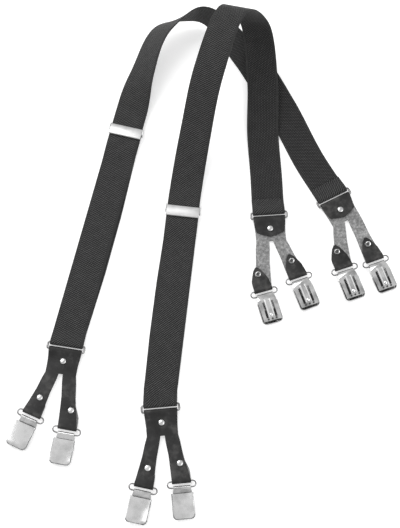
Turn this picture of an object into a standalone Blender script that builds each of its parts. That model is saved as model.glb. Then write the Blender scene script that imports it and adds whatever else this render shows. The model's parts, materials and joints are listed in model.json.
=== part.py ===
"""X-back suspenders with clip ends, laid out on a table.

Two 35 mm elastic straps cross at the back.  Each strap carries a metal length adjuster near its front
end.  A wire ring joins each strap end to a forked leather tab, and each leg of a tab holds a wire loop
with a hinged metal clip.  Units in the tables are millimetres and degrees; +X is the wearer's left side
of the layout, +Y runs from the front clips to the shoulder loops, +Z is up from the table.
"""
import math

import bmesh
import bpy
from mathutils import Matrix, Vector

MM = 0.001

# Straps
STRAP_WIDTH = 35.0
SHEET = 1.3            # webbing and leather thickness
GAP = 0.35             # clearance between neighbouring pieces
TABLE_LAYER = 0.65     # height of a layer lying on the table
SECOND_LAYER = TABLE_LAYER + SHEET + GAP
ADJUSTER_LAYER = 5.4   # the strap lifts over the adjuster's bar
STRAP_STEP = 8.0

# Rings between strap and leather
RING_WIRE = 1.25
RING_PITCH = 7.3       # between the centres of the two long bars
RING_WIDTH = 39.0
RING_CORNER = 1.6
RING_HEIGHT = 4.1
RING_WRAP = RING_WIRE + 0.5 + SHEET / 2
STRAP_RELAX = 16.0     # distance over which a folded layer settles

# Leather tabs: half widths down the trunk and down each leg
TAB_HALF_TOP = 17.3
TAB_HALF_UPPER = 17.0
TAB_HALF_LOWER = 16.7
TAB_HALF_WAIST = 16.2
TAB_WAIST = 15.0
CROTCH = 25.0
NOTCH_HALF = 2.2       # the legs part at a short straight notch
LEG_HALF_START = 7.0
LEG_HALF_MIDDLE = 7.5
LEG_HALF_END = 9.8
LEG_ROWS = 7
LEG_WIDENS = 0.45      # share of the leg's length where it starts to widen
LEG_RELAX = 12.0
TAB_RELAX = 7.5
RING_FLAP = ((-20.5, 1.2), (-18.5, 8.0), (-15.5, 14.8), (-8.0, TAB_HALF_LOWER), (-4.0, TAB_HALF_UPPER))
LEG_FLAP = ((4.0, 9.7), (8.0, 9.5), (12.0, 9.0), (18.0, 6.4), (22.5, 4.2), (26.0, 1.2))
TAB_LAYER = 1.95       # lower leather layer
LEATHER_PAIR = SHEET + GAP
FAR_OFF = 99.0         # any distance beyond the reach of a fold
TRUNK_SHARES = (-1.0, -0.56, -NOTCH_HALF / TAB_HALF_WAIST, NOTCH_HALF / TAB_HALF_WAIST, 0.56, 1.0)
LEG_SHARES = (-1.0, 0.0, 1.0)
TRUNK_RIVET = 11.5
LEG_RIVET = 18.0
RIVET_HEAD = 3.4
RIVET_FOOT = 2.8
RIVET_CROWN = 2.6
RIVET_SHANK = 1.4
RIVET_HOLE = 1.8
FOLD_STEPS = 8

# Wire loops
LOOP_WIRE = 0.9
LOOP_PITCH = 6.7
LOOP_WIDTH = 29.0
LOOP_CORNER = 3.2
LOOP_WRAP = LOOP_WIRE + GAP + SHEET / 2
FRONT_LOOP_HEIGHT = TAB_LAYER + LOOP_WRAP
BACK_LOOP_HEIGHT = 5.3

# Clips, measured from the bar that the leather holds
METAL = 0.8
FRAME_HALF = 9.8
FRAME_LOW = -3.2
FRAME_NECK = -11.0
FRAME_END = -36.0
HOOK_HALF = 8.8
HOOK_LIP = -8.4
SLOT_NEAR, SLOT_FAR = -14.0, -32.5
SLOT_IN, SLOT_OUT = 3.6, 6.0
PIVOT_Y, PIVOT_Z = -15.0, 0.6
PIVOT_HOLE, PIVOT_PIN = 1.5, 1.1
EAR_FRONT, EAR_REAR = -12.1, -18.6
EAR_FOOT = -19.0
EAR_TOP = 3.5
JAW_HALF = 10.95
JAW_TOP = 4.6
JAW_BACK, JAW_TIP = -12.7, -38.5
JAW_WALL_LOW = -1.4
JAW_LIP = -1.2
JAW_CORNER = 4.2
JAW_ARC = (0, 30, 60, 90)
JAW_BEND = 0.9         # drop from the tray's flat top to its side walls
GRIP_HALF = 8.2
GRIP_NEAR, GRIP_FAR = -23.0, -34.0
GRIP_LOW, GRIP_HIGH = 0.9, 3.6

# Adjusters
POST_IN, POST_OUT = 18.4, 19.3
POST_HALF = 4.2
POST_TOP = 4.0
BAR_LOW, BAR_HIGH = -3.35, -2.55
LEVER_AXIS_Y, LEVER_AXIS_Z = 2.2, 2.4
LEVER_PLAY = 0.4       # between the plate's ends and the posts
LEVER_HOLE, LEVER_PIN = 1.2, 0.8
LEVER_TOP, LEVER_LOW = 1.1, 0.2
LEVER_EDGE = -11.3     # outer face of the turned-down edge
RETURN_CUT = 15.0      # the return layer stops this far below the adjuster
SEWN_CLEARANCE = 0.5
SEWN_REACH = 9.0

# Layout of each strap, in plan.  The front run is straight: where it starts, its heading to the right
# of +Y and the distance along it to the adjuster.  The back run is straight too: where it ends and its
# heading to the right of -Y.
FRONT_RUN = {"left": ((-137, -74), 13.5, 236), "right": ((-41, -138), 6.5, 200)}
BACK_RUN = {"left": ((137, 92), 30), "right": ((74, 74), 2)}
LIFT_START, LIFT_END = 44, 19   # the strap climbs onto the adjuster between these distances from it
BACK_FLAT = 25                  # length of the back run that lies flat above its ring
# The shoulder loop between the runs, shaped by hand from a few points: x, y, height of the strap's
# middle line, tilt and turn of its width
SHOULDER = {
    "right": [
        (-5, 140, 30, 5, -20),
        (10, 195, 75, 10, -25),
        (35, 255, 95, 20, -25),
        (60, 265, 50, 20, -15),
        (70, 210, 15, 15, 0),
        (70, 150, 4, 0, 0),
    ],
    "left": [
        (-65, 220, 15, 30, -30),
        (-40, 270, 30, 45, -45),
        (0, 290, 25, 75, -5),
        (50, 245, 15, 45, 30),
        (90, 185, 3, 5, 30),
    ],
}
# How far the sewn return layer peeps out beside the strap
RETURN_SHIFT = {"left": 2.2, "right": -1.4}

# Each tab: the strap end that carries it, the turn of its trunk, then for each leg its length, its
# turn and the turn of its end
TABS = {
    "front_left": ("front", "left", -9, ((50, -34, -24), (57, 9, -10))),
    "front_right": ("front", "right", 5, ((54, -20, -12), (50, 23, 5))),
    "back_center": ("back", "right", 4, ((57, -10, 16), (49, 34, 20))),
    "back_right": ("back", "left", 27, ((54, -6, 19), (53, 32, 20))),
}
SIDES = ("a", "b")
DRILL_TURN = Matrix.Rotation(math.radians(7), 4, "Z")   # keeps the drill's edges off the sheet's

BLACK_WEB = ("webbing", (0.035, 0.035, 0.037), 0.85, 0.0)
BLACK_LEATHER = ("leather", (0.028, 0.028, 0.030), 0.5, 0.0)
NICKEL = ("polished_nickel", (0.78, 0.78, 0.80), 0.16, 1.0)
SATIN = ("satin_nickel", (0.66, 0.66, 0.68), 0.34, 1.0)
GRIP = ("grip", (0.05, 0.05, 0.055), 0.6, 0.0)


def clear_scene():
    for ob in list(bpy.data.objects):
        bpy.data.objects.remove(ob, do_unlink=True)


def material(spec):
    name, colour, rough, metal = spec
    found = bpy.data.materials.get(name)
    if found:
        return found
    mat = bpy.data.materials.new(name)
    mat.use_nodes = True
    shader = mat.node_tree.nodes["Principled BSDF"]
    shader.inputs["Base Color"].default_value = (*colour, 1.0)
    shader.inputs["Roughness"].default_value = rough
    shader.inputs["Metallic"].default_value = metal
    return mat


def add_object(name, mesh, spec, parent=None, matrix=None):
    ob = bpy.data.objects.new(name, mesh)
    bpy.context.collection.objects.link(ob)
    if not mesh.materials:
        mesh.materials.append(material(spec))
    ob.parent = parent
    if matrix is not None:
        ob.matrix_local = matrix
    return ob


def add_empty(name, matrix, parent=None):
    ob = bpy.data.objects.new(name, None)
    bpy.context.collection.objects.link(ob)
    ob.empty_display_size = 5 * MM
    ob.parent = parent
    ob.matrix_local = matrix
    return ob


def placed(x, y, z, turn):
    return Matrix.Translation(Vector((x, y, z)) * MM) @ Matrix.Rotation(math.radians(turn), 4, "Z")


def finish_mesh(bm, name, smooth=40):
    """Turn a bmesh drawn in millimetres into a mesh in metres."""
    bmesh.ops.scale(bm, vec=(MM, MM, MM), verts=bm.verts)
    mesh = bpy.data.meshes.new(name)
    bm.to_mesh(mesh)
    bm.free()
    if smooth:
        mesh.shade_smooth()
        mesh.set_sharp_from_angle(angle=math.radians(smooth))
    return mesh


def thicken(ob, thickness):
    mod = ob.modifiers.new("thickness", "SOLIDIFY")
    mod.thickness = thickness * MM
    mod.offset = 0.0
    mod.use_even_offset = True
    return mod


def boolean(ob, cutter, operation):
    cutter.hide_render = True
    cutter.display_type = "WIRE"
    mod = ob.modifiers.new(operation.lower(), "BOOLEAN")
    mod.operation = operation
    mod.solver = "EXACT"
    mod.object = cutter


def baked(ob, name):
    """The evaluated mesh of ob, which is then removed."""
    bpy.context.view_layer.update()
    shape = ob.evaluated_get(bpy.context.evaluated_depsgraph_get())
    mesh = bpy.data.meshes.new_from_object(shape)
    mesh.name = name
    bpy.data.objects.remove(ob, do_unlink=True)
    return mesh


def strips(bm, rows):
    """Quads between neighbouring rows of vertices."""
    for near, far in zip(rows, rows[1:]):
        for i in range(len(near) - 1):
            bm.faces.new((near[i], near[i + 1], far[i + 1], far[i]))


def extrude(bm, outline, vec):
    """A prism from a flat outline pushed along vec."""
    face = bm.faces.new([bm.verts.new(p) for p in outline])
    pushed = bmesh.ops.extrude_face_region(bm, geom=[face])["geom"]
    verts = [v for v in pushed if isinstance(v, bmesh.types.BMVert)]
    bmesh.ops.translate(bm, vec=vec, verts=verts)
    bmesh.ops.recalc_face_normals(bm, faces=bm.faces)


def ring_of_wire(name, width, pitch, wire, corner, parts=3, sides=8):
    """A wire ring in the XY plane: long bars at y = 0 and y = -pitch, round corners."""
    bm = bmesh.new()
    path = []
    half, low = width / 2, -pitch
    centres = ((half - corner, -corner, 0), (-half + corner, -corner, 90))
    centres += ((-half + corner, low + corner, 180), (half - corner, low + corner, 270))
    for cx, cy, start in centres:
        for k in range(parts + 1):
            a = math.radians(start + 90 * k / parts)
            out = Vector((math.cos(a), math.sin(a), 0))
            path.append((Vector((cx, cy, 0)) + out * corner, out))
    loops = []
    for point, out in path:
        turn = [2 * math.pi * k / sides for k in range(sides)]
        ring = [point + out * wire * math.cos(t) + Vector((0, 0, wire * math.sin(t))) for t in turn]
        loops.append([bm.verts.new(p) for p in ring])
    for i, near in enumerate(loops):
        far = loops[(i + 1) % len(loops)]
        for k in range(sides):
            n = (k + 1) % sides
            bm.faces.new((near[k], near[n], far[n], far[k]))
    bmesh.ops.remove_doubles(bm, verts=bm.verts, dist=0.001)
    bmesh.ops.recalc_face_normals(bm, faces=bm.faces)
    return finish_mesh(bm, name)


def turned(name, profile, steps=12):
    """A closed solid turned about Z from (radius, height) points, first and last on the axis."""
    bm = bmesh.new()
    rows = []
    for r, z in profile:
        if r == 0:
            rows.append([bm.verts.new((0, 0, z))])
            continue
        turn = [2 * math.pi * k / steps for k in range(steps)]
        rows.append([bm.verts.new((r * math.cos(t), r * math.sin(t), z)) for t in turn])
    for near, far in zip(rows, rows[1:]):
        for k in range(steps):
            n = (k + 1) % steps
            face = [near[k % len(near)], near[n % len(near)], far[n % len(far)], far[k % len(far)]]
            bm.faces.new(list(dict.fromkeys(face)))
    bmesh.ops.recalc_face_normals(bm, faces=bm.faces)
    return finish_mesh(bm, name, 35)


def box(bm, x, y, z):
    """A box between the limits in each axis."""
    made = bmesh.ops.create_cube(bm, size=1.0)["verts"]
    size = (x[1] - x[0], y[1] - y[0], z[1] - z[0])
    bmesh.ops.scale(bm, vec=size, verts=made)
    bmesh.ops.translate(bm, vec=(sum(x) / 2, sum(y) / 2, sum(z) / 2), verts=made)
    return made


def rod_x(bm, radius, x, y, z, steps=16):
    """A cylinder along X."""
    made = bmesh.ops.create_cone(bm, cap_ends=True, segments=steps, radius1=radius, radius2=radius,
                                 depth=x[1] - x[0])["verts"]
    bmesh.ops.rotate(bm, cent=(0, 0, 0), matrix=Matrix.Rotation(math.pi / 2, 3, "Y"), verts=made)
    bmesh.ops.translate(bm, vec=((x[0] + x[1]) / 2, y, z), verts=made)
    return made


# ---------------------------------------------------------------- straps

def width_direction(tilt, turn):
    tilt, turn = math.radians(tilt), math.radians(turn)
    flat = math.cos(tilt)
    return Vector((flat * math.cos(turn), flat * math.sin(turn), math.sin(tilt)))


def strap_route(side):
    """Stations along one strap: x, y, height of the middle line, tilt and turn of the width direction."""
    (x, y), heading, reach = FRONT_RUN[side]
    east, north = math.sin(math.radians(heading)), math.cos(math.radians(heading))
    stations = []
    for along, height in ((0, SECOND_LAYER), (reach - LIFT_START, SECOND_LAYER),
                          (reach - LIFT_END, ADJUSTER_LAYER), (reach + LIFT_END, ADJUSTER_LAYER)):
        stations.append((x + east * along, y + north * along, height, 0, -heading))
    stations += SHOULDER[side]
    (x, y), heading = BACK_RUN[side]
    east, north = math.sin(math.radians(heading)), math.cos(math.radians(heading))
    for along in (BACK_FLAT, 0):
        stations.append((x - east * along, y + north * along, TABLE_LAYER, 0, heading))
    return stations


def slopes(places, values, limited):
    """Slope of a smooth curve at each place; limited slopes never overshoot."""
    steps = [(b - a) / (q - p) for a, b, p, q in zip(values, values[1:], places, places[1:])]
    out = [steps[0]]
    for i in range(1, len(values) - 1):
        before, after = places[i] - places[i - 1], places[i + 1] - places[i]
        mean = (steps[i - 1] * after + steps[i] * before) / (before + after)
        if limited and steps[i - 1] * steps[i] <= 0:
            mean = 0.0
        elif limited:
            mean = math.copysign(min(abs(mean), 3 * abs(steps[i - 1]), 3 * abs(steps[i])), mean)
        out.append(mean)
    return out + [steps[-1]]


def smooth_route(stations):
    """Points and width directions along a smooth curve through the stations."""
    places = [0.0]
    for a, b in zip(stations, stations[1:]):
        places.append(places[-1] + math.dist(a[:3], b[:3]))
    columns = list(zip(*stations))
    grades = [slopes(places, column, k >= 2) for k, column in enumerate(columns)]
    out = []
    for i in range(len(stations) - 1):
        span = places[i + 1] - places[i]
        count = max(1, round(span / STRAP_STEP))
        for j in range(count):
            t = j / count
            h = (2 * t**3 - 3 * t**2 + 1, (t**3 - 2 * t**2 + t) * span)
            g = (3 * t**2 - 2 * t**3, (t**3 - t**2) * span)
            value = [h[0] * c[i] + h[1] * s[i] + g[0] * c[i + 1] + g[1] * s[i + 1]
                     for c, s in zip(columns, grades)]
            out.append((Vector(value[:3]), width_direction(value[3], value[4])))
    last = stations[-1]
    out.append((Vector(last[:3]), width_direction(last[3], last[4])))
    return out


def wrap_arc(bar, turn, radius, toward, upward):
    """Half a turn round a bar: toward is +1 round its far side, upward +1 from below to above."""
    along = Vector((-math.sin(math.radians(turn)), math.cos(math.radians(turn)), 0)) * toward
    side = width_direction(0, turn)
    out = []
    for k in range(FOLD_STEPS + 1):
        a = math.pi * (k / FOLD_STEPS - 0.5) * upward
        out.append((bar + along * radius * math.cos(a) + Vector((0, 0, radius * math.sin(a))), side))
    return out


def settle(start, end, turns, count=4):
    """A layer easing between two points, level at both ends."""
    out = []
    for k in range(1, count + 1):
        t = k / count
        point = start.lerp(end, t)
        point.z = start.z + (end.z - start.z) * (3 * t**2 - 2 * t**3)
        out.append((point, width_direction(0, turns[0] + (turns[1] - turns[0]) * t)))
    return out


def level(station, height):
    return Vector((station[0], station[1], height))


def shifted(point, side, amount, height):
    moved = point + side * amount
    moved.z = height
    return moved


def adjuster_place(side):
    """Plan position of the adjuster on its strap's front run, and its turn."""
    (x, y), heading, reach = FRONT_RUN[side]
    a = math.radians(heading)
    return x + reach * math.sin(a), y + reach * math.cos(a), -heading


def ring_place(tab):
    """Plan position and turn of the ring bar beyond the end of the strap's run."""
    end, side, turn, _ = TABS[tab]
    (x, y), heading = (FRONT_RUN if end == "front" else BACK_RUN)[side][:2]
    run_turn = -heading if end == "front" else heading
    a = math.radians((turn + run_turn) / 2)
    return x + STRAP_RELAX * math.sin(a), y - STRAP_RELAX * math.cos(a), turn


def return_layer(main, side):
    """The layer sewn back under the front run, from just below the adjuster down to the ring."""
    ax, ay, turn = adjuster_place(side)
    heading = width_direction(0, turn)
    along = Vector((-heading.y, heading.x, 0))
    top = Vector((ax, ay, 0)) - along * RETURN_CUT
    top.z = TABLE_LAYER
    first_past = next(k for k, (p, _) in enumerate(main) if p.y > top.y - 4)
    below = main[:first_past]
    ribbon = [(top, heading)]
    span = len(below) - 1
    for k, (p, w) in enumerate(reversed(below)):
        lean = RETURN_SHIFT[side] * min(1.0, 3 * k / span, 3 * (span - k) / span)
        ribbon.append((shifted(p, w, lean, TABLE_LAYER), w))
    return ribbon


def strap_mesh(name, side, front, back):
    """One continuous strap: return layer, ring fold, front, shoulder loop, back, ring fold, sewn end."""
    route = strap_route(side)
    main = smooth_route(route)
    first_turn, last_turn = route[0][4], route[-1][4]
    x, y, turn = ring_place(front)
    arc = wrap_arc(Vector((x, y, RING_HEIGHT)), turn, RING_WRAP, -1, 1)
    ribbon = return_layer(main, side)
    ribbon += settle(ribbon[-1][0], arc[0][0], (first_turn, turn))[:-1]
    ribbon += arc
    ribbon += settle(arc[-1][0], level(route[0], SECOND_LAYER), (turn, first_turn))[:-1]
    ribbon += main
    # back end: round the ring and back over itself
    x, y, turn = ring_place(back)
    bar = Vector((x, y, RING_HEIGHT))
    arc = wrap_arc(bar, turn, RING_WRAP, -1, 1)
    ribbon += settle(main[-1][0], arc[0][0], (last_turn, turn))[:-1]
    ribbon += arc
    side_way = width_direction(0, turn)
    away = Vector((-side_way.y, side_way.x, 0)) * STRAP_RELAX
    ribbon += settle(arc[-1][0], level(bar + away, SECOND_LAYER), (turn, (turn + last_turn) / 2))
    bm = bmesh.new()
    half = STRAP_WIDTH / 2
    rows = [[bm.verts.new(p + w * s) for s in (-half, half)] for p, w in ribbon]
    strips(bm, rows)
    return finish_mesh(bm, name, 50)


def build_straps(root):
    ends = (("left", "front_left", "back_right"), ("right", "front_right", "back_center"))
    for side, front, back in ends:
        name = f"strap_{side}"
        thicken(add_object(name, strap_mesh(name, side, front, back), BLACK_WEB, root), SHEET)


# ---------------------------------------------------------------- adjusters

def adjuster_frame_mesh():
    """Two side posts joined by a bar under the strap, with holes for the lever's pins."""
    bm = bmesh.new()
    outline = ((-POST_OUT, POST_TOP), (-POST_OUT, BAR_LOW), (POST_OUT, BAR_LOW), (POST_OUT, POST_TOP))
    outline += ((POST_IN, POST_TOP), (POST_IN, BAR_HIGH), (-POST_IN, BAR_HIGH), (-POST_IN, POST_TOP))
    extrude(bm, [(x, -POST_HALF, z) for x, z in outline], (0, 2 * POST_HALF, 0))
    ob = add_object("adjuster_frame_blank", finish_mesh(bm, "adjuster_frame_blank", 0), SATIN)
    bm = bmesh.new()
    reach = POST_OUT + 5
    rod_x(bm, LEVER_HOLE, (-reach, reach), LEVER_AXIS_Y, LEVER_AXIS_Z)
    cutter = add_object("pin_drill", finish_mesh(bm, "pin_drill", 0), SATIN)
    boolean(ob, cutter, "DIFFERENCE")
    mesh = baked(ob, "adjuster_frame")
    bpy.data.objects.remove(cutter, do_unlink=True)
    return mesh


def adjuster_lever_mesh():
    """The cover plate with a rolled hinge edge, turned-down end and two pins, about its own axis."""
    rolled = ((1.0, 0.0), (0.7, 0.75), (0.0, LEVER_TOP))
    turned_down = ((LEVER_EDGE + 0.7, LEVER_TOP), (LEVER_EDGE, 0.6), (LEVER_EDGE, -0.6),
                   (LEVER_EDGE + 0.6, -0.6), (LEVER_EDGE + 0.8, LEVER_LOW))
    under = ((-1.6, LEVER_LOW), (-0.9, -0.7), (0.0, -0.9), (0.7, -0.7))
    half = POST_IN - LEVER_PLAY
    bm = bmesh.new()
    extrude(bm, [(-half, y, z) for y, z in rolled + turned_down + under], (2 * half, 0, 0))
    ob = add_object("lever_blank", finish_mesh(bm, "lever_blank", 0), SATIN)
    bm = bmesh.new()
    reach = POST_OUT + 0.3
    rod_x(bm, LEVER_PIN, (-reach, reach), 0, 0)
    pin = add_object("lever_pin", finish_mesh(bm, "lever_pin", 0), SATIN)
    boolean(ob, pin, "UNION")
    mesh = baked(ob, "adjuster_lever")
    bpy.data.objects.remove(pin, do_unlink=True)
    return mesh


def sewn_end_mesh():
    """The strap's end: under the bar, round its upper side and back over it."""
    low = TABLE_LAYER - ADJUSTER_LAYER
    radius = (BAR_HIGH - BAR_LOW) / 2 + GAP + SHEET / 2
    middle = (BAR_HIGH + BAR_LOW) / 2
    points = [Vector((0, y, low)) for y in (SEWN_CLEARANCE - RETURN_CUT, -SEWN_REACH)]
    points.append(Vector((0, -POST_HALF, middle - radius)))
    centre = Vector((0, POST_HALF, middle))
    for k in range(FOLD_STEPS + 1):
        a = math.pi * (k / FOLD_STEPS - 0.5)
        points.append(centre + Vector((0, radius * math.cos(a), radius * math.sin(a))))
    points.append(Vector((0, -POST_HALF, middle + radius)))
    points.append(Vector((0, -SEWN_REACH, middle + radius - 0.5)))
    bm = bmesh.new()
    half = STRAP_WIDTH / 2
    strips(bm, [[bm.verts.new(p + Vector((s, 0, 0))) for s in (-half, half)] for p in points])
    return finish_mesh(bm, "sewn_end", 50)


def build_adjusters(root):
    frame, lever = adjuster_frame_mesh(), adjuster_lever_mesh()
    for side in FRONT_RUN:
        x, y, turn = adjuster_place(side)
        slide = add_empty(f"slide_{side}", placed(x, y, ADJUSTER_LAYER, turn), root)
        add_object(f"adjuster_frame_{side}", frame, SATIN, slide)
        thicken(add_object(f"strap_end_{side}", sewn_end_mesh(), BLACK_WEB, slide), SHEET)
        hinge = add_empty(f"lever_axis_{side}", placed(0, LEVER_AXIS_Y, LEVER_AXIS_Z, 0), slide)
        add_object(f"adjuster_lever_{side}", lever, SATIN, hinge)


# ---------------------------------------------------------------- leather tabs

def row(bm, centre, turn, half, shares):
    """A row of vertices across a sheet, at given shares of its half width."""
    side = width_direction(0, turn)
    return [bm.verts.new(centre + side * half * share) for share in shares]


def ease(t):
    t = max(0.0, min(1.0, t))
    return 3 * t**2 - 2 * t**3


class Tab:
    """A forked leather tab in its own frame: ring bar along X at the origin, legs towards -Y."""

    def __init__(self, legs, is_front):
        self.legs = legs
        self.up = 1 if is_front else -1
        self.loop_height = FRONT_LOOP_HEIGHT if is_front else BACK_LOOP_HEIGHT
        self.main_base = TAB_LAYER + LEATHER_PAIR if is_front else TAB_LAYER
        self.bar_height = RING_HEIGHT

    def leg_end(self, leg):
        length, turn, _ = leg
        a = math.radians(turn)
        return Vector((length * math.sin(a), -CROTCH - length * math.cos(a), self.loop_height))

    def main_height(self, from_ring, from_loop):
        """Height of the main layer at given distances from the ring bar and the loop bar."""
        at_ring = self.bar_height + self.up * RING_WRAP
        at_loop = self.loop_height + self.up * LOOP_WRAP
        near_ring = 1 - ease(from_ring / TAB_RELAX)
        near_loop = 1 - ease(from_loop / LEG_RELAX)
        base = self.main_base
        return base + (at_ring - base) * near_ring + (at_loop - base) * near_loop

    def flap_height(self, distance, main, bar, radius):
        """The folded flap eases from the far side of the bar to lie against the main layer."""
        close = ease(distance / TAB_RELAX)
        return (bar - self.up * radius) * (1 - close) + (main - self.up * LEATHER_PAIR) * close

    def mesh(self, name):
        bm = bmesh.new()
        bar = self.bar_height
        # flap over the ring bar, pointed at its end
        rows = []
        for y, half in RING_FLAP:
            z = self.flap_height(-y, self.main_height(-y, FAR_OFF), bar, RING_WRAP)
            rows.append(row(bm, Vector((0, y, z)), 0, half, TRUNK_SHARES))
        for k in range(FOLD_STEPS + 1):
            a = math.pi * (k / FOLD_STEPS - 0.5) * self.up
            centre = Vector((0, RING_WRAP * math.cos(a), bar + RING_WRAP * math.sin(a)))
            rows.append(row(bm, centre, 0, TAB_HALF_TOP, TRUNK_SHARES))
        for y, half in (RING_FLAP[4], RING_FLAP[3], (-TAB_WAIST, TAB_HALF_WAIST)):
            rows.append(row(bm, Vector((0, y, self.main_height(-y, FAR_OFF))), 0, half, TRUNK_SHARES))
        crotch_point = Vector((0, -CROTCH, self.main_height(CROTCH, FAR_OFF)))
        crotch = row(bm, crotch_point, 0, NOTCH_HALF + 2 * LEG_HALF_START, TRUNK_SHARES)
        rows.append(crotch)
        strips(bm, rows)
        for number, leg in enumerate(self.legs):
            shared = crotch[:3] if number == 0 else crotch[3:]
            strips(bm, self.leg_rows(bm, leg, shared, number * 2 - 1))
        bmesh.ops.recalc_face_normals(bm, faces=bm.faces)
        return finish_mesh(bm, name, 50)

    def leg_rows(self, bm, leg, shared, sign):
        length, _, end_turn = leg
        end = self.leg_end(leg)
        start = Vector((sign * (NOTCH_HALF + LEG_HALF_START), -CROTCH, 0))
        rows = [list(shared)]
        for k in range(1, LEG_ROWS):
            t = k / LEG_ROWS
            widened = max(0.0, t - LEG_WIDENS) / (1 - LEG_WIDENS)
            half = LEG_HALF_MIDDLE + (LEG_HALF_END - LEG_HALF_MIDDLE) * widened
            centre = start.lerp(end, t)
            centre.z = self.main_height(CROTCH + t * length, (1 - t) * length)
            rows.append(row(bm, centre, end_turn * ease(1.3 * t), half, LEG_SHARES))
        side = width_direction(0, end_turn)
        along = Vector((-side.y, side.x, 0))
        for k in range(FOLD_STEPS + 1):
            a = math.pi * (0.5 - k / FOLD_STEPS) * self.up
            centre = end - along * LOOP_WRAP * math.cos(a) + Vector((0, 0, LOOP_WRAP * math.sin(a)))
            rows.append(row(bm, centre, end_turn, LEG_HALF_END, LEG_SHARES))
        for d, half in LEG_FLAP:
            centre = end + along * d
            centre.z = self.flap_height(d, self.main_height(FAR_OFF, d), self.loop_height, LOOP_WRAP)
            rows.append(row(bm, centre, end_turn, half, LEG_SHARES))
        return rows

    def rivet_places(self):
        """Each rivet's x, y and the middle height of the leather pair there."""
        main = self.main_height(TRUNK_RIVET, FAR_OFF)
        yield 0.0, -TRUNK_RIVET, main - self.up * LEATHER_PAIR / 2
        for number, leg in enumerate(self.legs):
            end = self.leg_end(leg)
            side = width_direction(0, leg[2])
            spot = end + Vector((-side.y, side.x, 0)) * LEG_RIVET
            yield spot.x, spot.y, self.main_height(FAR_OFF, LEG_RIVET) - self.up * LEATHER_PAIR / 2


def rivet_mesh(name, reach):
    """A rivet with a domed head on top and a low ring head below, its shank through the leather."""
    top, low = reach, -reach
    profile = ((0, low - 0.9), (RIVET_FOOT, low - 0.9), (RIVET_HEAD - 0.2, low), (RIVET_SHANK, low),
               (RIVET_SHANK, top), (RIVET_HEAD, top), (RIVET_CROWN, top + 1.0), (0, top + 1.45))
    return turned(name, profile)


def build_tabs(root):
    rivet = rivet_mesh("rivet", LEATHER_PAIR / 2 + SHEET / 2 + 0.3)
    ring = ring_of_wire("ring", RING_WIDTH, RING_PITCH, RING_WIRE, RING_CORNER)
    loop = ring_of_wire("wire_loop", LOOP_WIDTH, LOOP_PITCH, LOOP_WIRE, LOOP_CORNER)
    frame, jaw, insert = clip_frame_mesh(), clip_jaw_mesh(), clip_insert_mesh()
    hole = ((0, -6), (RIVET_HOLE, -6), (RIVET_HOLE, 6), (0, 6))
    for name, (end_name, _, turn, legs) in TABS.items():
        is_front = end_name == "front"
        x, y, _ = ring_place(name)
        add_object(f"ring_{name}", ring, NICKEL, root, placed(x, y, RING_HEIGHT, turn))
        a = math.radians(turn)
        tab = Tab([(length, leg - turn, end - turn) for length, leg, end in legs], is_front)
        lower_bar = placed(x + RING_PITCH * math.sin(a), y - RING_PITCH * math.cos(a), RING_HEIGHT, turn)
        axis = add_empty(f"tab_axis_{name}", lower_bar, root)
        down = Matrix.Translation((0, 0, -RING_HEIGHT * MM))
        leather = add_object(f"tab_{name}", tab.mesh(f"tab_{name}"), BLACK_LEATHER, axis, down)
        thicken(leather, SHEET)
        for number, (x, y, z) in enumerate(tab.rivet_places()):
            place = placed(x, y, z - RING_HEIGHT, 0)
            add_object(f"rivet_{name}_{number}", rivet, NICKEL, axis, place)
            drill = turned(f"drill_{name}_{number}", hole)
            cutter = add_object(f"drill_{name}_{number}", drill, NICKEL, axis, place @ DRILL_TURN)
            boolean(leather, cutter, "DIFFERENCE")
        for number, leg in enumerate(tab.legs):
            end = tab.leg_end(leg)
            place = placed(end.x, end.y, end.z - RING_HEIGHT, leg[2])
            if not is_front:
                place = place @ Matrix.Rotation(math.pi, 4, "Y")
            key = f"{name}_{SIDES[number]}"
            swing = add_empty(f"swing_axis_{key}", place, axis)
            add_object(f"wire_loop_{key}", loop, NICKEL, swing)
            add_object(f"clip_frame_{key}", frame, NICKEL, swing)
            hinge = add_empty(f"jaw_axis_{key}", placed(0, PIVOT_Y, PIVOT_Z, 0), swing)
            back = Matrix.Translation((0, -PIVOT_Y * MM, -PIVOT_Z * MM))
            add_object(f"clip_jaw_{key}", jaw, NICKEL, hinge, back)
            add_object(f"clip_grip_{key}", insert, GRIP, hinge, back)


# ---------------------------------------------------------------- clips

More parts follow.
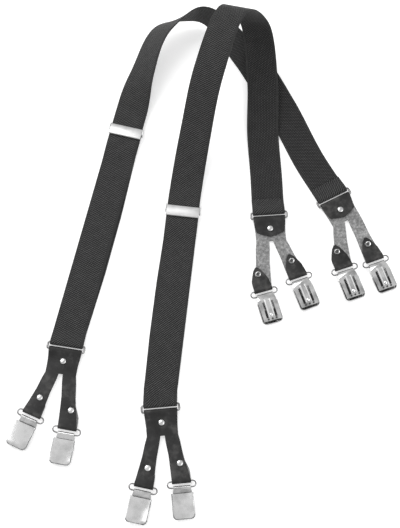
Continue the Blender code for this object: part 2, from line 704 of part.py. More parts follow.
def clip_frame_mesh():
    """Stamped back frame: hook round the wire, slotted plate with a spring tongue, two pierced ears."""
    bm = bmesh.new()
    hook = LOOP_WIRE + GAP + METAL / 2
    rows = []
    across = (-HOOK_HALF, -SLOT_OUT, -SLOT_IN, SLOT_IN, SLOT_OUT, HOOK_HALF)
    rows.append([bm.verts.new((x, HOOK_LIP, hook * 0.92)) for x in across])
    for k in range(FOLD_STEPS + 1):
        a = math.pi * (0.5 - k / FOLD_STEPS)
        y, z = -LOOP_PITCH + hook * math.cos(a), hook * math.sin(a)
        rows.append([bm.verts.new((x, y, z)) for x in across])
    strips(bm, rows)
    columns = (-FRAME_HALF, -SLOT_OUT, -SLOT_IN, SLOT_IN, SLOT_OUT, FRAME_HALF)
    plate = []
    for y in (FRAME_NECK, SLOT_NEAR, PIVOT_Y, EAR_FOOT, SLOT_FAR, FRAME_END):
        plate.append([bm.verts.new((x, y, FRAME_LOW)) for x in columns])
    for near, far in zip(plate, plate[1:]):
        slotted = SLOT_FAR < near[0].co.y <= SLOT_NEAR
        for i in range(len(columns) - 1):
            if not (slotted and i in (1, 3)):
                bm.faces.new((near[i], near[i + 1], far[i + 1], far[i]))
    strips(bm, [rows[-1], plate[0]])
    for column in (0, -1):
        pierced_ear(bm, [plate[k][column] for k in (3, 2, 1)])
    bmesh.ops.recalc_face_normals(bm, faces=bm.faces)
    ob = add_object("frame_blank", finish_mesh(bm, "frame_blank"), NICKEL)
    thicken(ob, METAL)
    return baked(ob, "clip_frame")


def pierced_ear(bm, foot):
    """An upright ear on the plate's edge with a round pivot hole, as quads between outline and hole."""
    x = foot[0].co.x
    outline = list(foot)
    shoulder = EAR_TOP - 1.0
    for y, z in ((EAR_FRONT, PIVOT_Z), (EAR_FRONT - 0.7, shoulder), (PIVOT_Y, EAR_TOP),
                 (EAR_REAR + 1.0, shoulder), (EAR_REAR, PIVOT_Z)):
        outline.append(bm.verts.new((x, y, z)))
    hole = []
    for k in range(len(outline)):
        a = math.radians(225 + 45 * k)
        y, z = PIVOT_Y + PIVOT_HOLE * math.cos(a), PIVOT_Z + PIVOT_HOLE * math.sin(a)
        hole.append(bm.verts.new((x, y, z)))
    for k in range(len(outline)):
        n = (k + 1) % len(outline)
        bm.faces.new((outline[k], outline[n], hole[n], hole[k]))


def clip_jaw_mesh():
    """Front jaw: a tray with side walls, a lip at the tip, round corners and two pivot pins."""
    bm = bmesh.new()
    half, cut = JAW_HALF, JAW_CORNER
    one_side = [(-half, JAW_BACK), (-half, JAW_BACK - 2.0), (-half, EAR_FOOT)]
    for angle in JAW_ARC:
        a = math.radians(angle)
        one_side.append((-half + cut * (1 - math.cos(a)), JAW_TIP + cut * (1 - math.sin(a))))
    outline = one_side + [(-x, y) for x, y in reversed(one_side)]
    lows = [JAW_TOP - 1.2, JAW_WALL_LOW, JAW_WALL_LOW] + [JAW_LIP] * len(JAW_ARC)
    lows += lows[::-1]
    inner = [bm.verts.new((x * 0.93, y * 0.95 - 1.2, JAW_TOP)) for x, y in outline]
    edge = [bm.verts.new((x, y, JAW_TOP - JAW_BEND)) for x, y in outline]
    foot = [bm.verts.new((x, y, z)) for (x, y), z in zip(outline, lows)]
    bm.faces.new(inner)
    count = len(outline)
    for k in range(count):
        n = (k + 1) % count
        bm.faces.new((inner[k], inner[n], edge[n], edge[k]))
        if k != count - 1:
            bm.faces.new((edge[k], edge[n], foot[n], foot[k]))
    bmesh.ops.recalc_face_normals(bm, faces=bm.faces)
    ob = add_object("jaw_blank", finish_mesh(bm, "jaw_blank"), NICKEL)
    thicken(ob, METAL)
    pins = []
    for sign in (-1, 1):
        bm = bmesh.new()
        ends = sorted((sign * (FRAME_HALF - 0.9), sign * (JAW_HALF + 0.1)))
        rod_x(bm, PIVOT_PIN, ends, PIVOT_Y, PIVOT_Z, 12)
        pin = add_object(f"jaw_pin_{sign}", finish_mesh(bm, f"jaw_pin_{sign}", 0), NICKEL)
        boolean(ob, pin, "UNION")
        pins.append(pin)
    mesh = baked(ob, "clip_jaw")
    for pin in pins:
        bpy.data.objects.remove(pin, do_unlink=True)
    return mesh


def clip_insert_mesh():
    """Grip pad inside the jaw."""
    bm = bmesh.new()
    box(bm, (-GRIP_HALF, GRIP_HALF), (GRIP_FAR, GRIP_NEAR), (GRIP_LOW, GRIP_HIGH))
    return finish_mesh(bm, "clip_grip", 0)


def centre_on_origin(root):
    """Move the whole layout so that its box stands on the middle of the table's origin."""
    bpy.context.view_layer.update()
    corners = []
    deps = bpy.context.evaluated_depsgraph_get()
    for ob in bpy.data.objects:
        if ob.type == "MESH" and not ob.hide_render:
            shape = ob.evaluated_get(deps)
            corners += [ob.matrix_world @ v.co for v in shape.data.vertices]
    lows = [min(c[i] for c in corners) for i in range(3)]
    highs = [max(c[i] for c in corners) for i in range(3)]
    root.location = (-(lows[0] + highs[0]) / 2, -(lows[1] + highs[1]) / 2, -lows[2])


def main():
    clear_scene()
    root = add_empty("layout", Matrix.Identity(4))
    build_straps(root)
    build_adjusters(root)
    build_tabs(root)
    centre_on_origin(root)


main()
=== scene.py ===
"""Looks of the suspenders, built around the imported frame.

Every piece takes its place from the frame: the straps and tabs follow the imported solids' own corners, and
the small metal parts are drawn in the local frame of the joint that carries them.  Small sizes are in
millimetres; anything that ends in a scene object is in metres.
"""

import json
import math

import bmesh
import bpy
from mathutils import Matrix, Vector


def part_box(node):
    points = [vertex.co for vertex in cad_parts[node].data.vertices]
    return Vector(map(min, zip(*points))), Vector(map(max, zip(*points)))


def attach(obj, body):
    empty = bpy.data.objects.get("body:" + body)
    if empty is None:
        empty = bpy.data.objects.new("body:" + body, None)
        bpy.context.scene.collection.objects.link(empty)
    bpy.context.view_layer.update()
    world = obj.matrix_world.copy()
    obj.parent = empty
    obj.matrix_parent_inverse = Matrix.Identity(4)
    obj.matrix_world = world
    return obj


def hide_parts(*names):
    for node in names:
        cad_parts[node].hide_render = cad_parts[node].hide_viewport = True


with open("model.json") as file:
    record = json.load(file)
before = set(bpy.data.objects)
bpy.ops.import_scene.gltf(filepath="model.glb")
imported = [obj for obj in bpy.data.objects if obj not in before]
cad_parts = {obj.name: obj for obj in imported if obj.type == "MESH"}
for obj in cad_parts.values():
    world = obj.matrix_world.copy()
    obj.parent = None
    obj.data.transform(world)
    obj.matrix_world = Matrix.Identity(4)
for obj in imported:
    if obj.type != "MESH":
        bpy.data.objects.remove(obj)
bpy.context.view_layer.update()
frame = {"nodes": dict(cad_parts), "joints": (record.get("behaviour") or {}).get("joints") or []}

MM = 0.001
TABS = ("front_left", "front_right", "back_center", "back_right")
SIDES = ("a", "b")
JOINTS = {joint["name"]: joint for joint in frame["joints"]}

# Camera
AIM = Vector((-0.0061, -0.0073, 0.0))
ELEVATION = 72.0
DISTANCE = 1.25
LENS = 79.1

# Webbing
WEB_STEP = 2.4          # spacing of rows along a strap
LONG_SPAN = 0.012       # straight stretches are filled in with rows at least this close
WEB_COLUMNS = 14
WEB_EDGE = 0.45         # radius of the rounded selvedge
SELVEDGE = 14.6         # the smooth edge band starts this far from the middle
TWILL_PITCH = 2.6
TWILL_SLOPE = 0.9
TWILL_WANDER = 1.6      # how far the diagonals stray
YARN_PITCH = 1.25
RIB_PITCH, RIB_SLANT = 1.9, 3.4   # the inner side's dotted rib
EDGE_PITCH = 1.5
MATCH_WINDOW = 6        # corner lines may skip a few points where the strap is straight
SAME = 0.005 * MM

# Metal: bevel widths
BEVEL = 0.22
FRAME_BEVEL = 0.16
JAW_BEVEL = 0.3
GRIP_BEVEL = 0.4
CRADLE_BEVEL = 0.18
COVER_BEVEL = 0.3
LEATHER_BEVEL = 0.28

# Rivets
SHANK = 1.35
DOME = 1.25
HOLLOW_DEPTH = 1.2

# Clip details, in millimetres: x positions, and distances up from the frame's tip
RIB_PLACES = (-2.6, 2.6)
RIB_HALF, RIB_THICK = 0.7, 0.5
RIB_START = -12.0
RIB_RISE = 0.35
EYELET_UP = 6.5
TIP_HOLE_PLACES = (-4.4, 0.0, 4.4)
TIP_HOLE_UP = 2.0
TIP_HOLE_RADIUS = 1.15
SPRING = ((-11.8, 1.2), (-15.0, 1.5), (-19.0, 2.4), (-22.0, 3.2))
SPRING_HALF, SPRING_THICK = 2.6, 0.35

# Lights: name, place, size in metres, power
LIGHTS = (("key", (-1.0, 0.9, 1.5), 1.6, 22.0), ("fill", (1.4, -0.6, 1.3), 1.6, 10.0))


# ---------------------------------------------------------------- material graphs

class Graph:
    """A Principled material with helpers that add nodes and return their output sockets."""

    def __init__(self, name, rough, metal=0.0):
        self.mat = bpy.data.materials.new(name)
        self.mat.use_nodes = True
        self.tree = self.mat.node_tree
        self.shader = self.tree.nodes["Principled BSDF"]
        self.set("Roughness", rough)
        self.set("Metallic", metal)

    def set(self, socket, value):
        if isinstance(value, bpy.types.NodeSocket):
            self.tree.links.new(value, self.shader.inputs[socket])
        else:
            self.shader.inputs[socket].default_value = value

    def add(self, kind, inputs, **settings):
        node = self.tree.nodes.new(kind)
        for key, value in settings.items():
            setattr(node, key, value)
        for key, value in inputs.items():
            if isinstance(value, bpy.types.NodeSocket):
                self.tree.links.new(value, node.inputs[key])
            else:
                node.inputs[key].default_value = value
        return node

    def math(self, operation, a, b=0.0, clamp=False):
        return self.add("ShaderNodeMath", {0: a, 1: b}, operation=operation, use_clamp=clamp).outputs[0]

    def wave(self, phase):
        """A smooth 0 to 1 wave, one cycle per unit of phase."""
        turned = self.math("SINE", self.math("MULTIPLY", phase, 2 * math.pi))
        return self.math("ADD", self.math("MULTIPLY", turned, 0.5), 0.5)

    def lerp(self, factor, a, b):
        node = self.add("ShaderNodeMix", {0: factor, 2: a, 3: b}, data_type="FLOAT")
        return node.outputs[0]

    def ramp(self, factor, stops):
        node = self.add("ShaderNodeValToRGB", {0: factor})
        band = node.color_ramp
        while len(band.elements) < len(stops):
            band.elements.new(0.5)
        for element, (place, colour) in zip(band.elements, stops):
            element.position = place
            element.color = (*colour, 1.0)
        return node.outputs[0]

    def uv(self):
        node = self.add("ShaderNodeUVMap", {}, uv_map="UVMap")
        parts = self.add("ShaderNodeSeparateXYZ", {0: node.outputs[0]})
        return parts.outputs[0], parts.outputs[1], node.outputs[0]

    def place(self, scale=(1.0, 1.0, 1.0)):
        coordinates = self.tree.nodes.new("ShaderNodeTexCoord").outputs["Object"]
        return self.add("ShaderNodeMapping", {"Vector": coordinates, "Scale": scale}).outputs[0]

    def noise(self, vector, scale, detail=3.0, rough=0.5):
        settings = {"Vector": vector, "Scale": scale, "Detail": detail, "Roughness": rough}
        return self.add("ShaderNodeTexNoise", settings).outputs[0]

    def cells(self, vector, scale):
        return self.add("ShaderNodeTexVoronoi", {"Vector": vector, "Scale": scale}).outputs[0]

    def bump(self, height, distance, strength=1.0):
        settings = {"Height": height, "Distance": distance, "Strength": strength}
        self.set("Normal", self.add("ShaderNodeBump", settings).outputs[0])


def grey(value, warm=0.0):
    return (value * (1 + warm), value, value * (1 - warm))


def webbing(name, outer):
    """Charcoal elastic: broken diagonal twill outside, a dotted rib inside, smooth edge bands."""
    g = Graph(name, 0.8)
    u, v, uv = g.uv()
    if outer:
        wander = g.math("MULTIPLY", g.noise(uv, 320.0, 2.0), TWILL_WANDER * MM)
        lean = g.math("SUBTRACT", g.math("ADD", v, wander), g.math("MULTIPLY", u, TWILL_SLOPE))
        diagonal = g.wave(g.math("DIVIDE", lean, TWILL_PITCH * MM))
        yarn = g.wave(g.math("DIVIDE", u, YARN_PITCH * MM))
        knit = g.math("MULTIPLY", diagonal, g.math("ADD", g.math("MULTIPLY", yarn, 0.6), 0.4))
    else:
        lean = g.math("DIVIDE", u, RIB_SLANT * MM)
        rib = g.math("DIVIDE", v, RIB_PITCH * MM)
        knit = g.math("MULTIPLY", g.wave(g.math("ADD", rib, lean)), g.wave(g.math("SUBTRACT", rib, lean)))
    band = g.math("DIVIDE", g.math("SUBTRACT", g.math("ABSOLUTE", u), SELVEDGE * MM), 0.5 * MM, clamp=True)
    edge_wave = g.wave(g.math("DIVIDE", v, EDGE_PITCH * MM))
    edge_rib = g.math("ADD", g.math("MULTIPLY", edge_wave, 0.16), 0.34)
    height = g.lerp(band, knit, edge_rib)
    fuzz = g.noise(uv, 2600.0, 2.0)
    patch = g.noise(uv, 90.0, 3.0)
    tone = g.math("ADD", height, g.math("MULTIPLY", g.math("SUBTRACT", fuzz, 0.5), 0.5))
    tone = g.math("ADD", tone, g.math("MULTIPLY", g.math("SUBTRACT", patch, 0.5), 0.25))
    g.set("Base Color", g.ramp(tone, ((0.1, grey(0.008)), (0.45, grey(0.026)), (0.95, grey(0.12)))))
    g.set("Roughness", g.lerp(height, 0.92, 0.68))
    g.set("Sheen Weight", 0.12)
    g.set("Sheen Roughness", 0.5)
    g.set("Specular IOR Level", 0.3)
    g.bump(g.math("ADD", height, g.math("MULTIPLY", fuzz, 0.3)), 0.34 * MM, 0.95)
    return g.mat


def leather(name):
    g = Graph(name, 0.45)
    where = g.place()
    pores = g.cells(where, 1300.0)
    wrinkle = g.noise(where, 160.0, 5.0, 0.6)
    worn = g.noise(where, 45.0, 3.0)
    tone = g.math("ADD", g.math("MULTIPLY", wrinkle, 0.5), g.math("MULTIPLY", worn, 0.5))
    g.set("Base Color", g.ramp(tone, ((0.35, grey(0.007)), (0.5, grey(0.018)), (0.63, grey(0.055, 0.02)))))
    g.set("Roughness", g.lerp(wrinkle, 0.42, 0.66))
    g.set("Specular IOR Level", 0.32)
    g.bump(g.math("ADD", g.math("MULTIPLY", pores, 0.5), wrinkle), 0.12 * MM, 0.7)
    return g.mat


def suede(name):
    g = Graph(name, 0.95)
    where = g.place()
    nap = g.noise(where, 1500.0, 4.0, 0.7)
    mottle = g.noise(where, 330.0, 4.0, 0.7)
    drift = g.noise(where, 60.0, 2.0)
    tone = g.math("ADD", g.math("MULTIPLY", nap, 0.35), g.math("MULTIPLY", mottle, 0.5))
    tone = g.math("ADD", tone, g.math("MULTIPLY", drift, 0.15))
    g.set("Base Color", g.ramp(tone, ((0.34, grey(0.07)), (0.5, grey(0.23)), (0.64, grey(0.5)))))
    g.set("Sheen Weight", 0.2)
    g.set("Sheen Roughness", 0.6)
    g.set("Specular IOR Level", 0.2)
    g.bump(g.math("ADD", nap, mottle), 0.3 * MM, 0.9)
    return g.mat


def cut_edge(name):
    """The dyed cut edge of the leather, fibrous along its length."""
    g = Graph(name, 0.75)
    where = g.place()
    fibre = g.noise(where, 1800.0, 3.0, 0.7)
    g.set("Base Color", g.ramp(fibre, ((0.3, grey(0.012)), (0.7, grey(0.05)))))
    g.bump(fibre, 0.15 * MM, 0.8)
    return g.mat


def nickel(name, base, low, high, brushed, dark=0.86):
    """Nickel plate: fine scratches or a brushed grain, smudged gloss, clouded down to a dark share."""
    g = Graph(name, 0.2, 1.0)
    where = g.place()
    smudge = g.noise(where, 110.0, 4.0, 0.6)
    scratch = g.noise(g.place((1.0, 14.0, 4.0) if brushed else (9.0, 1.0, 3.0)), 420.0, 3.0, 0.65)
    tone = g.lerp(0.5, smudge, scratch)
    cloud = g.noise(where, 70.0, 2.0)
    shade = g.math("ADD", g.math("MULTIPLY", tone, 0.4), g.math("MULTIPLY", cloud, 0.6))
    g.set("Base Color", g.ramp(shade, ((0.36, grey(base * dark)), (0.56, grey(base)))))
    g.set("Roughness", g.lerp(tone, low, high))
    g.bump(scratch, 0.02 * MM, 0.5 if brushed else 0.25)
    return g.mat


def rubber(name):
    g = Graph(name, 0.7)
    where = g.place()
    ridges = g.wave(g.math("MULTIPLY", g.add("ShaderNodeSeparateXYZ", {0: where}).outputs[1], 520.0))
    dust = g.noise(where, 300.0, 3.0)
    g.set("Base Color", g.ramp(dust, ((0.3, grey(0.018)), (0.7, grey(0.06)))))
    g.bump(g.math("ADD", ridges, dust), 0.2 * MM, 0.7)
    return g.mat


WEB_OUTER = webbing("webbing_outer", True)
WEB_INNER = webbing("webbing_inner", False)
LEATHER = leather("leather_smooth")
SUEDE = suede("leather_suede")
EDGE = cut_edge("leather_edge")
POLISHED = nickel("nickel_polished", 0.8, 0.12, 0.3, False, 0.7)
WIRE = nickel("nickel_wire", 0.3, 0.08, 0.24, False)
STAMPED = nickel("nickel_stamped", 0.7, 0.08, 0.22, False, 0.4)
SATIN = nickel("nickel_satin", 0.58, 0.24, 0.42, True, 0.82)
# bright polished nickel for the eyelet; on the clip ribs this brighter copy of the plate's metal is a
# painted highlight
BRIGHT_NICKEL_AND_HIGHLIGHT = nickel("nickel_bright_and_painted_highlight", 0.95, 0.1, 0.2, False)
# dark steel for the leaf spring; the same dark colour also paints the shade inside the rivet hollows and
# the clip's tip holes
DARK_STEEL_AND_SHADE = nickel("steel_dark_and_painted_shade", 0.1, 0.25, 0.45, False)
RUBBER = rubber("grip_rubber")


# ---------------------------------------------------------------- making pieces

def piece(name, mesh, body, materials, nodes=(), smooth=35):
    """Link a finished mesh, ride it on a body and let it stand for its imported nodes."""
    for mat in materials:
        mesh.materials.append(mat)
    mesh.shade_smooth()
    mesh.set_sharp_from_angle(angle=math.radians(smooth))
    ob = bpy.data.objects.new(name, mesh)
    bpy.context.collection.objects.link(ob)
    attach(ob, body)
    if nodes:
        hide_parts(*nodes)
    return ob


def to_mesh(bm, name, matrix=None):
    """A mesh from a bmesh; with a matrix, the bmesh is in millimetres of that local frame."""
    if matrix is not None:
        bmesh.ops.scale(bm, vec=(MM, MM, MM), verts=bm.verts)
        bmesh.ops.transform(bm, matrix=matrix, verts=bm.verts)
    bmesh.ops.recalc_face_normals(bm, faces=bm.faces)
    mesh = bpy.data.meshes.new(name)
    bm.to_mesh(mesh)
    bm.free()
    return mesh


def welded(node):
    """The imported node's surface with its split corners joined."""
    bm = bmesh.new()
    bm.from_mesh(frame["nodes"][node].data)
    bmesh.ops.remove_doubles(bm, verts=bm.verts, dist=1e-6)
    bmesh.ops.recalc_face_normals(bm, faces=bm.faces)
    bm.verts.ensure_lookup_table()
    return bm


def refined(node, name, body, material, bevel=BEVEL):
    """A packed metal part with its flat faces joined up and its edges rounded."""
    bm = welded(node)
    bmesh.ops.dissolve_limit(bm, angle_limit=math.radians(1.0), verts=bm.verts, edges=bm.edges)
    ob = piece(name, to_mesh(bm, name), body, [material], (node,), 45)
    mod = ob.modifiers.new("soft_edges", "BEVEL")
    mod.width = bevel * MM
    mod.segments = 3
    mod.limit_method = "ANGLE"
    mod.angle_limit = math.radians(35)
    mod.harden_normals = True


def rounded_wire(node, name, body):
    """A packed wire ring with its faces joined into quads and subdivided."""
    bm = welded(node)
    bmesh.ops.join_triangles(bm, faces=bm.faces, angle_face_threshold=1.2, angle_shape_threshold=1.2)
    ob = piece(name, to_mesh(bm, name), body, [WIRE], (node,), 80)
    mod = ob.modifiers.new("round", "SUBSURF")
    mod.levels = mod.render_levels = 1


def lathe(name, profile, matrix, body, material, nodes=(), steps=28):
    """A turned piece from (radius, height) points along the local Z axis."""
    bm = bmesh.new()
    rows = []
    for r, z in profile:
        count = 1 if r == 0 else steps
        turn = [2 * math.pi * k / steps for k in range(count)]
        rows.append([bm.verts.new((r * math.cos(t), r * math.sin(t), z)) for t in turn])
    for near, far in zip(rows, rows[1:]):
        for k in range(steps):
            n = (k + 1) % steps
            face = [near[k % len(near)], near[n % len(near)], far[n % len(far)], far[k % len(far)]]
            bm.faces.new(list(dict.fromkeys(face)))
    piece(name, to_mesh(bm, name, matrix), body, [material], nodes, 40)


def local_frame(x_axis, toward, origin):
    """A frame at origin with the given X, its -Y level and pointing along toward."""
    x = Vector(x_axis).normalized()
    y = -Vector((toward[0], toward[1], 0.0))
    y = (y - x * y.dot(x)).normalized()
    z = x.cross(y)
    matrix = Matrix((x, y, z)).transposed().to_4x4()
    matrix.translation = origin
    return matrix


def local_box(node, matrix):
    """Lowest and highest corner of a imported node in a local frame, in millimetres."""
    back = matrix.inverted()
    points = [back @ v.co / MM for v in frame["nodes"][node].data.vertices]
    low = Vector([min(p[i] for p in points) for i in range(3)])
    high = Vector([max(p[i] for p in points) for i in range(3)])
    return low, high


# ---------------------------------------------------------------- webbing

def rails(bm):
    """The four long corner lines of a strap solid, all starting at the end that lies lower."""
    limit = math.radians(60)
    sharp = {e for e in bm.edges if e.calc_face_angle(0) > limit}
    around = {}
    for e in sharp:
        for v in e.verts:
            around.setdefault(v, []).append(e)
    corners = {v for v, edges in around.items() if len(edges) == 3}
    ends = []
    for v in corners:
        if not any(v in end for end in ends):
            end, grew = {v}, True
            while grew:
                near = {e.other_vert(c) for c in end for e in around[c]} & corners
                grew = not near <= end
                end |= near
            ends.append(end)
    start = min(ends, key=lambda end: sum(v.co.z for v in end))
    lines = []
    for corner in start:
        here, came = corner, None
        line = [corner.co.copy()]
        while came is None or here not in corners:
            came = next(e for e in around[here] if e is not came and e.other_vert(here) not in start)
            here = came.other_vert(here)
            line.append(here.co.copy())
        lines.append(line)
    return lines


def matched(one, two, low, high):
    """Pairs of points along two lines whose distance apart is between low and high."""
    pairs, first = [], 0
    for a in one:
        for k in range(first, min(first + MATCH_WINDOW, len(two))):
            if low < (a - two[k]).length < high:
                pairs.append((a, two[k]))
                first = k + 1
                break
    return pairs


def middle_rows(node):
    """Left and right edge of a strap's middle surface, row by row along it, and its thickness."""
    bm = welded(node)
    first, *others = rails(bm)
    bm.free()
    others.sort(key=lambda line: (line[0] - first[0]).length)
    thickness = (others[0][0] - first[0]).length
    edges = []
    for top, bottom in ((first, others[0]), (others[1], others[2])):
        pairs = matched(top, bottom, thickness * 0.98, thickness * 1.09)
        edges.append([(a + b) / 2 for a, b in pairs])
    if edges[1][0].x < edges[0][0].x:
        edges.reverse()
    width = (edges[1][0] - edges[0][0]).length
    rows = matched(*edges, width - SAME, width + SAME)
    filled = []
    for (a, b), (c, d) in zip(rows, rows[1:]):
        count = max(1, math.ceil((c - a).length / LONG_SPAN))
        filled += [(a.lerp(c, k / count), b.lerp(d, k / count)) for k in range(count)]
    filled.append(rows[-1])
    return [a for a, _ in filled], [b for _, b in filled], thickness


def slopes(points, places):
    """Direction of a smooth curve at each point, per unit of distance along it."""
    steps = [(b - a) / (q - p) for a, b, p, q in zip(points, points[1:], places, places[1:])]
    out = [steps[0]]
    for i in range(1, len(points) - 1):
        before, after = places[i] - places[i - 1], places[i + 1] - places[i]
        out.append((steps[i - 1] * after + steps[i] * before) / (before + after))
    return out + [steps[-1]]


def between(points, grades, i, t, span):
    """A point on the smooth curve between points i and i + 1."""
    return (points[i] * (2 * t**3 - 3 * t**2 + 1) + grades[i] * span * (t**3 - 2 * t**2 + t)
            + points[i + 1] * (3 * t**2 - 2 * t**3) + grades[i + 1] * span * (t**3 - t**2))


def ribbon(name, node, body):
    """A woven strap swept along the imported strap's middle surface, with rounded selvedges."""
    left, right, thickness = middle_rows(node)
    marks = [0.0]
    for i in range(len(left) - 1):
        marks.append(marks[-1] + ((left[i + 1] + right[i + 1]) - (left[i] + right[i])).length / 2)
    left_grades, right_grades = slopes(left, marks), slopes(right, marks)
    rows = []
    for i in range(len(left) - 1):
        span = marks[i + 1] - marks[i]
        count = max(1, round(span / (WEB_STEP * MM)))
        for k in range(count):
            t = k / count
            rows.append((between(left, left_grades, i, t, span), between(right, right_grades, i, t, span)))
    rows.append((left[-1], right[-1]))
    length = 0.0
    half, deep = (right[0] - left[0]).length / 2, thickness / 2
    edge = WEB_EDGE * MM
    across = [(-half + edge) + 2 * (half - edge) * k / WEB_COLUMNS for k in range(WEB_COLUMNS + 1)]
    loop = [(x, deep) for x in across] + [(half - edge * 0.3, deep * 0.72), (half, 0.0)]
    loop += [(half - edge * 0.3, -deep * 0.72)] + [(x, -deep) for x in reversed(across)]
    loop += [(-half + edge * 0.3, -deep * 0.72), (-half, 0.0), (-half + edge * 0.3, deep * 0.72)]
    bm = bmesh.new()
    layer = bm.loops.layers.uv.new("UVMap")
    made, place = [], []
    for i, (a, b) in enumerate(rows):
        before, after = rows[max(i - 1, 0)], rows[min(i + 1, len(rows) - 1)]
        along = ((after[0] + after[1]) - (before[0] + before[1])).normalized()
        side = (b - a).normalized()
        up = side.cross(along).normalized()
        centre = (a + b) / 2
        if i:
            length += (centre - (rows[i - 1][0] + rows[i - 1][1]) / 2).length
        made.append([bm.verts.new(centre + side * x + up * z) for x, z in loop])
        place.append(length)
    count = len(loop)
    top = len(across) + 1
    for i in range(len(rows) - 1):
        for k in range(count):
            n = (k + 1) % count
            face = bm.faces.new((made[i][k], made[i][n], made[i + 1][n], made[i + 1][k]))
            face.material_index = 0 if k < top or k >= count - 2 else 1
            corners = ((k, i), (n, i), (n, i + 1), (k, i + 1))
            for corner, (column, line) in zip(face.loops, corners):
                corner[layer].uv = (loop[column][0], place[line])
    for line, rim in ((0, made[0]), (-1, made[-1])):
        cap = bm.faces.new(rim)
        for corner, (x, _) in zip(cap.loops, loop):
            corner[layer].uv = (x, place[line])
    piece(name, to_mesh(bm, name), body, [WEB_OUTER, WEB_INNER], (node,), 50)


# ---------------------------------------------------------------- leather

def sheet_regions(bm):
    """Faces of a folded sheet grouped by side: walks over the surface without crossing sharp edges."""
    limit = math.radians(50)
    left, groups = set(bm.faces), []
    while left:
        front = [left.pop()]
        group = list(front)
        while front:
            face = front.pop()
            for e in face.edges:
                if len(e.link_faces) != 2 or e.calc_face_angle(0) > limit:
                    continue
                for other in e.link_faces:
                    if other in left:
                        left.remove(other)
                        front.append(other)
                        group.append(other)
        groups.append(group)
    return sorted(groups, key=lambda group: -sum(f.calc_area() for f in group))


def build_tab(tab):
    """The folded leather: smooth on its outer side, suede on its inner side, dyed at the cut."""
    node = f"tab_{tab}"
    bm = welded(node)
    groups = sheet_regions(bm)
    for group in groups[2:]:
        for face in group:
            face.material_index = 2
    faces_up = [sum(f.normal.z * f.calc_area() for f in group) for group in groups[:2]]
    smooth_is_up = tab.startswith("front")
    for group, up in zip(groups[:2], faces_up):
        smooth_side = (up == max(faces_up)) == smooth_is_up
        for face in group:
            face.material_index = 0 if smooth_side else 1
    mesh = to_mesh(bm, node)
    ob = piece(f"leather_{tab}", mesh, node, [LEATHER, SUEDE, EDGE], (node,), 50)
    mod = ob.modifiers.new("burnished_edge", "BEVEL")
    mod.width = LEATHER_BEVEL * MM
    mod.segments = 2
    mod.limit_method = "ANGLE"
    mod.angle_limit = math.radians(50)
    mod.material = 2


def build_rivets(tab):
    """Domed rivets; the back legs show the rolled, hollow side of theirs, with a dark disc painting the
    shade inside.
    """
    for number in range(3):
        node = f"rivet_{tab}_{number}"
        low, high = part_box(node)
        centre = (low + high) / 2
        half = (high.z - low.z) / 2 / MM
        radius = (high.x - low.x) / 2 / MM
        matrix = Matrix.Translation(centre)
        foot = [(0.0, -half), (radius * 0.6, -half), (radius * 0.85, -half + 0.3)]
        foot += [(radius * 0.92, -half + 0.9), (SHANK, -half + 0.9), (SHANK, half - 1.45)]
        if tab.startswith("back") and number:
            head = [(radius * 0.98, half - 1.4), (radius, half - 1.05), (radius * 0.88, half - 0.4)]
            head += [(radius * 0.74, half), (radius * 0.58, half - 0.3), (radius * 0.5, half - 1.2)]
            head += [(radius * 0.22, half - 1.3), (0.0, half - 1.1)]
        else:
            head = [(radius * 0.97, half - 1.45)]
            for k in range(7):
                a = math.radians(15 * k)
                head.append((radius * math.cos(a) if k < 6 else 0.0, half - DOME + DOME * math.sin(a)))
        lathe(f"rivet_head_{tab}_{number}", foot + head, matrix, f"tab_{tab}", POLISHED,
              (node,))
        # a dark disc fills the rolled head's well: painted shade inside the hollow
        if tab.startswith("back") and number:
            deep = half - HOLLOW_DEPTH
            hollow = [(0.0, deep), (radius * 0.55, deep), (radius * 0.62, half - 0.25), (0.0, half - 0.75)]
            lathe(f"rivet_hollow_shade_{tab}_{number}", hollow, matrix, f"tab_{tab}", DARK_STEEL_AND_SHADE)


# ---------------------------------------------------------------- clips

def strip(name, path, half, thick, matrix, body, material):
    """A bent metal strip along (y, z) points, its width along X."""
    bm = bmesh.new()
    rows = []
    for i, point in enumerate(path):
        before, after = Vector(path[max(i - 1, 0)]), Vector(path[min(i + 1, len(path) - 1)])
        along = (after - before).normalized()
        out = Vector((-along.y, along.x)) * thick / 2
        up, down = Vector(point) + out, Vector(point) - out
        rows.append([bm.verts.new((x, p.x, p.y)) for x, p in
                     ((-half, up), (half, up), (half, down), (-half, down))])
    for near, far in zip(rows, rows[1:]):
        for k in range(4):
            n = (k + 1) % 4
            bm.faces.new((near[k], near[n], far[n], far[k]))
    bm.faces.new(rows[0])
    bm.faces.new(rows[-1])
    piece(name, to_mesh(bm, name, matrix), body, [material], (), 30)


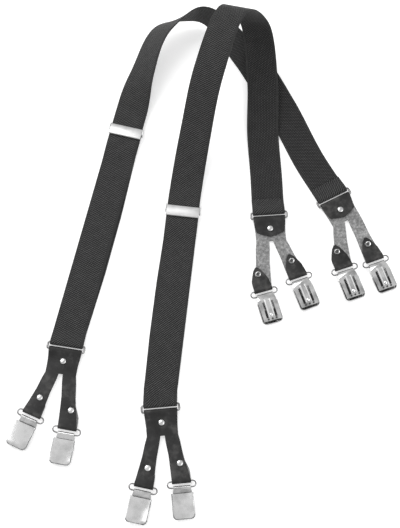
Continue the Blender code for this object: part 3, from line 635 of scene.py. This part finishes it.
def build_clip(tab, side):
    key = f"{tab}_{side}"
    swing, jaw = JOINTS[f"swing_{key}"], JOINTS[f"jaw_{key}"]
    origin, pivot = Vector(swing["pos_m"]), Vector(jaw["pos_m"])
    matrix = local_frame(-Vector(jaw["axis"]), pivot - origin, origin)
    clip, jaw_body = f"clip_{key}", f"jaw_{key}"
    rounded_wire(f"wire_loop_{key}", f"wire_{key}", clip)
    refined(f"clip_frame_{key}", f"clip_plate_{key}", clip, STAMPED,
            FRAME_BEVEL)
    refined(f"clip_jaw_{key}", f"jaw_tray_{key}", jaw_body, POLISHED,
            JAW_BEVEL)
    refined(f"clip_grip_{key}", f"grip_pad_{key}", jaw_body, RUBBER, GRIP_BEVEL)
    plate_low = local_box(f"clip_frame_{key}", matrix)[0]
    flat = plate_low.z
    tip = plate_low.y
    # two ribs beside the slots in a brighter nickel that paints their highlight, an eyelet between them,
    # and three dark discs near the tip that paint the shade of holes
    rib = [(RIB_START, flat - 0.05), (RIB_START - 1.0, flat - RIB_RISE)]
    rib += [(tip + EYELET_UP - 1.0, flat - RIB_RISE), (tip + EYELET_UP - 2.0, flat - 0.05)]
    for number, x in enumerate(RIB_PLACES):
        beside = matrix @ Matrix.Translation(Vector((x, 0, 0)) * MM)
        strip(f"clip_rib_{key}_{number}", rib, RIB_HALF, RIB_THICK, beside, clip, BRIGHT_NICKEL_AND_HIGHLIGHT)
    over = Matrix.Rotation(math.pi, 4, "Y")
    eye = [(0.0, 0.1), (0.8, 0.1), (0.85, 0.4), (1.2, 0.55), (1.6, 0.35), (1.7, 0.0)]
    ring_at = matrix @ Matrix.Translation(Vector((0, tip + EYELET_UP, flat)) * MM) @ over
    lathe(f"clip_eyelet_{key}", eye, ring_at, clip, BRIGHT_NICKEL_AND_HIGHLIGHT, (), 20)
    # dark discs paint the shade of three holes near the tip
    for number, x in enumerate(TIP_HOLE_PLACES):
        spot = matrix @ Matrix.Translation(Vector((x, tip + TIP_HOLE_UP, flat)) * MM) @ over
        disc = [(0.0, -0.1), (TIP_HOLE_RADIUS, -0.1), (TIP_HOLE_RADIUS - 0.05, 0.12), (0.0, 0.2)]
        lathe(f"clip_hole_shade_{key}_{number}", disc, spot, clip, DARK_STEEL_AND_SHADE, (), 14)
    # leaf spring that holds the jaw shut
    spring = [(y, flat + rise) for y, rise in SPRING]
    strip(f"clip_spring_{key}", spring, SPRING_HALF, SPRING_THICK, matrix, clip, DARK_STEEL_AND_SHADE)


# ---------------------------------------------------------------- adjusters

def build_adjuster(side):
    refined(f"adjuster_frame_{side}", f"adjuster_cradle_{side}", f"adjuster_{side}", SATIN,
            CRADLE_BEVEL)
    refined(f"adjuster_lever_{side}", f"adjuster_plate_{side}", f"lever_{side}", SATIN,
            COVER_BEVEL)
    ribbon(f"sewn_end_{side}", f"strap_end_{side}", f"adjuster_{side}")


# ---------------------------------------------------------------- assembly

for side in ("left", "right"):
    ribbon(f"webbing_{side}", f"strap_{side}", "straps")
    build_adjuster(side)

for tab in TABS:
    rounded_wire(f"ring_{tab}", f"strap_ring_{tab}", "straps")
    build_tab(tab)
    build_rivets(tab)
    for side in SIDES:
        build_clip(tab, side)


# ---------------------------------------------------------------- floor, light, camera

def build_stage():
    bm = bmesh.new()
    steps, reach = 8, 3.0
    bmesh.ops.create_grid(bm, x_segments=steps, y_segments=steps, size=reach)
    bmesh.ops.translate(bm, vec=(0, 0, -0.0004), verts=bm.verts)
    floor = bpy.data.objects.new("floor", to_mesh(bm, "floor"))
    bpy.context.collection.objects.link(floor)
    g = Graph("floor_paper", 0.9)
    g.set("Base Color", (0.9, 0.9, 0.9, 1.0))
    g.set("Emission Color", (1.0, 1.0, 1.0, 1.0))
    g.set("Emission Strength", 0.42)
    floor.data.materials.append(g.mat)


def build_lights():
    world = bpy.data.worlds.new("studio")
    bpy.context.scene.world = world
    world.use_nodes = True
    tree = world.node_tree
    where = tree.nodes.new("ShaderNodeTexCoord").outputs["Generated"]
    split = tree.nodes.new("ShaderNodeSeparateXYZ")
    tree.links.new(where, split.inputs[0])
    ramp = tree.nodes.new("ShaderNodeValToRGB")
    ramp.color_ramp.elements[0].position = 0.1
    ramp.color_ramp.elements[0].color = (0.12, 0.12, 0.125, 1)
    ramp.color_ramp.elements[1].position = 0.55
    ramp.color_ramp.elements[1].color = (1, 1, 1, 1)
    tree.links.new(split.outputs[2], ramp.inputs[0])
    tree.links.new(ramp.outputs[0], tree.nodes["Background"].inputs["Color"])
    tree.nodes["Background"].inputs["Strength"].default_value = 0.75
    for name, place, size, power in LIGHTS:
        data = bpy.data.lights.new(name, "AREA")
        data.shape = "SQUARE"
        data.size = size
        data.energy = power
        lamp = bpy.data.objects.new(name, data)
        bpy.context.collection.objects.link(lamp)
        lamp.location = place
        lamp.rotation_euler = (-Vector(place)).to_track_quat("-Z", "Y").to_euler()


def build_camera():
    data = bpy.data.cameras.new("camera")
    data.lens = LENS
    camera = bpy.data.objects.new("camera", data)
    bpy.context.collection.objects.link(camera)
    a = math.radians(ELEVATION)
    camera.location = AIM + Vector((0, -math.cos(a), math.sin(a))) * DISTANCE
    camera.rotation_euler = (math.radians(90) - a, 0, 0)
    bpy.context.scene.camera = camera


build_stage()
build_lights()
build_camera()
bpy.context.scene.view_settings.view_transform = "Standard"
